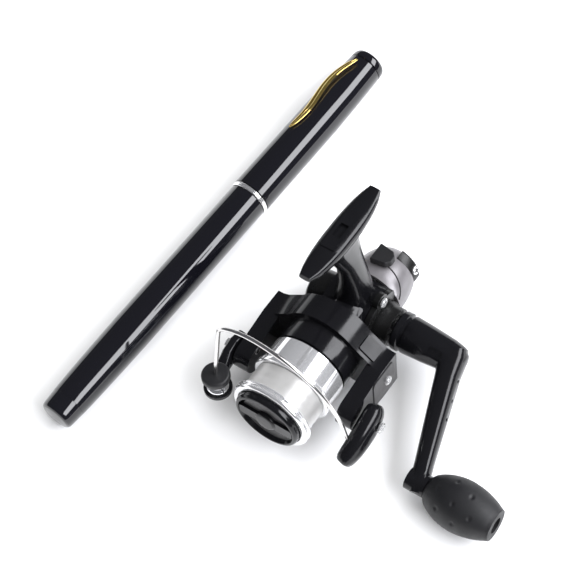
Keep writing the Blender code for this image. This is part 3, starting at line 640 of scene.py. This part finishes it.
def build_bail():
    """Wire hoop, roller, its cap and the two ends of the bail."""
    softened("bail_arm", 0.3, "gloss")
    softened("bail_lever", 0, "gloss", levels=1)
    corner = [(ROLLER_X, ROLLER_Y, 6.7), (ROLLER_X - 1.4, ROLLER_Y + 1.4, 20),
              (ROLLER_X - 2.8, ROLLER_Y + 2.8, 33.5), (57.4, -21.6, 37.6), (57.0, -17.0, 40.0)]
    hoop = [(56.6, -10, 41.0), (56.2, -1, 39.4), (55.6, 10, 34.4), (54.8, 20, 24.6),
            (54.2, 27, 11.5), (53.6, 29.6, -1.6)]
    to_piece("bail_hoop", tube(smooth_path(corner + hoop, 10), 0.85, (0.9, 0, 0.3), 20), REEL,
             "wire", "bail", ["bail_wire"])
    at = (ROLLER_X, ROLLER_Y, 0)
    to_piece("roller_shell", lathe([
        (-2.9, 1.6), (-2.9, 4.6), (-1.9, 4.3), (-0.6, 3.1), (0.8, 4.3), (2.1, 4.7), (2.1, 1.6)],
        "z", at, closed=True, radius=0.5, steps=64), REEL, "chrome", "roller",
        ["line_roller"])
    to_piece("roller_cap_shell", lathe([
        (2.7, 0), (2.7, 5.2), (3.5, 5.75), (5.6, 5.75), (6.5, 5.1), (6.5, 0)], "z", at, steps=80,
        radius=0.5), REEL, "dull", "bail", ["roller_cap"])


# ---------------------------------------------------------------- spool and drag


def thread(along, turn):
    """Height of the wound turns of line, with the slow unevenness of winding by hand."""
    pitch = 0.5
    return 0.07 * abs(sin(pi * (along + 0.5 * sin(turn)) / pitch)) + 0.06 * sin(along * 1.7)


def build_spool():
    """Bright spool with its two lips, waist and skirt."""
    to_piece("spool_shell", lathe([
        (LIP_X, 14.6), (LIP_X, 16.4), (LIP_X - 0.7, LIP_R), (LIP_X - 1.4, LIP_R),
        (LIP_X - 1.8, 16.5), (LIP_X - 2.2, 16.5), (LIP_X - 2.6, LIP_R), (LIP_X - 3.2, LIP_R),
        (LIP_X - 3.6, 16.4), (LIP_X - 3.6, 11), (FLANGE_X + 2.2, 11), (FLANGE_X + 2.2, 16.4),
        (FLANGE_X + 1.7, 17.0), (FLANGE_X, 17.0), (FLANGE_X - 0.6, SKIRT_R), (SKIRT_X, SKIRT_R),
        (SKIRT_X, 14.9), (FLANGE_X - 1.0, 14.9), (FLANGE_X - 1.0, 2.3), (LIP_X - 7.6, 2.3),
        (LIP_X - 7.6, 10.1), (LIP_X - 2.9, 10.1), (LIP_X - 2.9, 14.6)], closed=True, radius=0.25,
        steps=128), REEL, "skirt", "spool_group", ["spool"])


def build_line():
    """Line wound on the spool's waist, as one ring with its turns on the surface."""
    low, high = FLANGE_X + 2.4, LIP_X - 3.8
    count = 110
    wound = [(low, 11.3)] + [(low + (high - low) * k / count, 15.1) for k in range(count + 1)]
    wound.append((high, 11.3))
    to_piece("line_turns", lathe(wound, closed=True, radius=0, steps=120, ripple=thread), REEL,
             "line", "spool_group", ["wound_line"], 60)


def build_drag():
    """Drag knob in the spool's front, with its bar, boss and grey panel."""
    back = LIP_X - 6.4
    knob = lathe([
        (LIP_X - 1.6, 0), (LIP_X - 1.6, 2.3), (LIP_X - 2.8, 2.3), (LIP_X - 2.8, 6), (back, 6),
        (back, 9.6), (LIP_X - 2.5, 9.6), (LIP_X - 2.5, 13.8), (LIP_X - 2.0, 14.2),
        (LIP_X + 1.8, 14.2), (LIP_X + 2.7, 13.6), (LIP_X + 2.9, 12.6), (LIP_X + 0.9, 11.9),
        (LIP_X + 0.9, 0)], radius=0.3)
    bar = slab(24.2, 5.4, LIP_X, LIP_X + 2.6, 1.2)
    boss = lathe([(LIP_X, 0), (LIP_X, 4.8), (LIP_X + 2.7, 4.8), (LIP_X + 3.3, 3.9),
                  (LIP_X + 3.3, 0)], radius=0.5, steps=64)
    to_piece("drag_knob_shell", join(knob, bar, boss), REEL, "gloss", "drag",
             ["drag_knob"])
    floor = lathe([(LIP_X + 0.7, 0), (LIP_X + 0.7, 11.2), (LIP_X + 1.3, 11.2), (LIP_X + 1.3, 0)])
    to_piece("drag_panel", floor, REEL, "arm_grey", "drag")


# ---------------------------------------------------------------- crank


def build_crank():
    """Crank arm with its pocket and lightening holes."""
    pocket = slab(3.6, 5.6, 6.4, 9.0, 0.6, "x")
    pocket.transform(Matrix.Rotation(radians(-46), 4, "Y") @ Matrix.Translation((0, 38.0, 0))
                     @ Matrix.Rotation(pi / 2, 4, "X"))
    tools = [cutter(pocket, CRANK)]
    elbow, eye = Vector((0, 43.5, 0)), (KNOB_AXIS_AT - CRANK_AT) / MM
    eye = Vector((eye.dot(FORWARD), eye.dot(SIDE), eye.dot(UP)))
    for share in (0.16, 0.32, 0.47):
        at = elbow.lerp(eye, share) + Vector((0, 3.2 - 1.2 * share, 1.2))
        hole = lathe([(0, 0), (0, 0.75), (4, 0.75), (4, 0)], "y", at, steps=20, radius=0)
        tools.append(cutter(hole, CRANK))
    softened("crank_arm", 0.35, "gloss", cuts=tools)


def build_grip():
    """Soft grip that swells from the arm to its bored end, with shallow dimples."""
    outer = [(4.2, 4.8)]
    for k in range(1, 25):
        t = k / 24
        bulge = 4.8 + 5.0 * sin(pi * min(t * 1.02, 1) ** 0.86) ** 0.78 + 1.9 * t
        outer.append((4.2 + (KNOB_LENGTH - 4.2) * t, bulge))
    profile = ([(4.2, 2.3)] + outer
               + [(KNOB_LENGTH, 3.4), (KNOB_LENGTH - 6, 3.4), (KNOB_LENGTH - 6, 2.3)])
    dimples = [(10, 0.2), (12.5, 1.0), (15, -0.4), (18, 0.5), (20.5, 1.2), (23, -0.1), (26, 0.7),
               (12, 3.2), (18, 3.7), (24, 3.0), (15, 4.6), (21, 5.1)]

    def dimple(along, turn):
        depth = 0
        for at, angle in dimples:
            gap = (along - at) ** 2 + (8.5 * sin((turn - angle) / 2) * 2) ** 2
            depth -= 0.45 * max(0, 1 - gap / 0.9)
        return depth

    grip = lathe(dense(profile), "y", closed=True, radius=0, steps=144, ripple=dimple)
    to_piece("grip_shell", grip, KNOB, "soft", "knob", ["crank_knob"], 50)


# ---------------------------------------------------------------- stage


def aim(item, target):
    item.rotation_euler = (target - item.location).to_track_quat("-Z", "Y").to_euler()


def soft_box(name, at, target, size, power, colour=(1, 1, 1), seen=True):
    light = bpy.data.lights.new(name, "AREA")
    light.shape = "RECTANGLE"
    light.size, light.size_y = size
    light.energy = power
    light.color = colour
    item = bpy.data.objects.new(name, light)
    bpy.context.scene.collection.objects.link(item)
    item.location = at
    aim(item, target)
    item.visible_glossy = seen
    return item


def build_stage():
    """White floor, even light, one long soft box beside the rod, and the camera."""
    scene = bpy.context.scene
    scene.view_settings.view_transform = "Standard"
    world = bpy.data.worlds.new("studio")
    world.use_nodes = True
    world.node_tree.nodes["Background"].inputs["Color"].default_value = (0.9, 0.92, 1, 1)
    world.node_tree.nodes["Background"].inputs["Strength"].default_value = 0.14
    scene.world = world
    bm = bmesh.new()
    bmesh.ops.create_grid(bm, x_segments=1, y_segments=1, size=3.0)
    mesh = bpy.data.meshes.new("floor")
    bm.to_mesh(mesh)
    bm.free()
    floor = Finish("floor_white", (0.86, 0.86, 0.86), 0.9, Specular_IOR_Level=0.0)
    floor.tint(3, (0.85, 0.85, 0.85), (0.87, 0.87, 0.87))
    mesh.materials.append(floor.material)
    plane = bpy.data.objects.new("floor", mesh)
    plane.location.z = CAD_BOX[0].z - FLOOR_GAP
    scene.collection.objects.link(plane)

    centre = ROD.translation
    soft_box("key", centre + KEY_SIDE * KEY_DISTANCE, centre, (1.3, 0.42), 16, (0.95, 0.96, 1.0))
    soft_box("top", centre + Vector((0.1, 0.1, TOP_HEIGHT)), centre, (2.4, 2.4), 40, seen=False)

    camera = bpy.data.cameras.new("camera")
    camera.lens = LENS
    camera.sensor_width = 36
    item = bpy.data.objects.new("camera", camera)
    scene.collection.objects.link(item)
    target = centre + LOOK_FROM_ROD
    back = Vector((sin(AZIMUTH) * cos(ELEVATION), -cos(AZIMUTH) * cos(ELEVATION), sin(ELEVATION)))
    item.location = target + back * DISTANCE
    aim(item, target)
    scene.camera = item


def main():
    build_rod()
    build_body()
    build_rotor()
    build_bail()
    build_spool()
    build_line()
    build_drag()
    build_crank()
    build_grip()
    dress("plastic", "seat_barrel", "oscillation_block")
    dress("steel", "fixed_hood", "sliding_hood", "cover_screw_top", "cover_screw_low",
          "cover_screw_rear", "rotor_screw", "lever_screw", "arm_screw", "pinion_bearing",
          "handle_shaft", "main_shaft", "drag_spring", "tip_guide",
          *[f"guide_{k}" for k in range(1, 6)])
    dress("brass", "pinion", "rotor_nut", "drive_gear")
    dress("felt", "drag_washer")
    dress("fibre", "tip_section", *[f"section_{k}" for k in range(1, 6)])
    build_stage()


main()
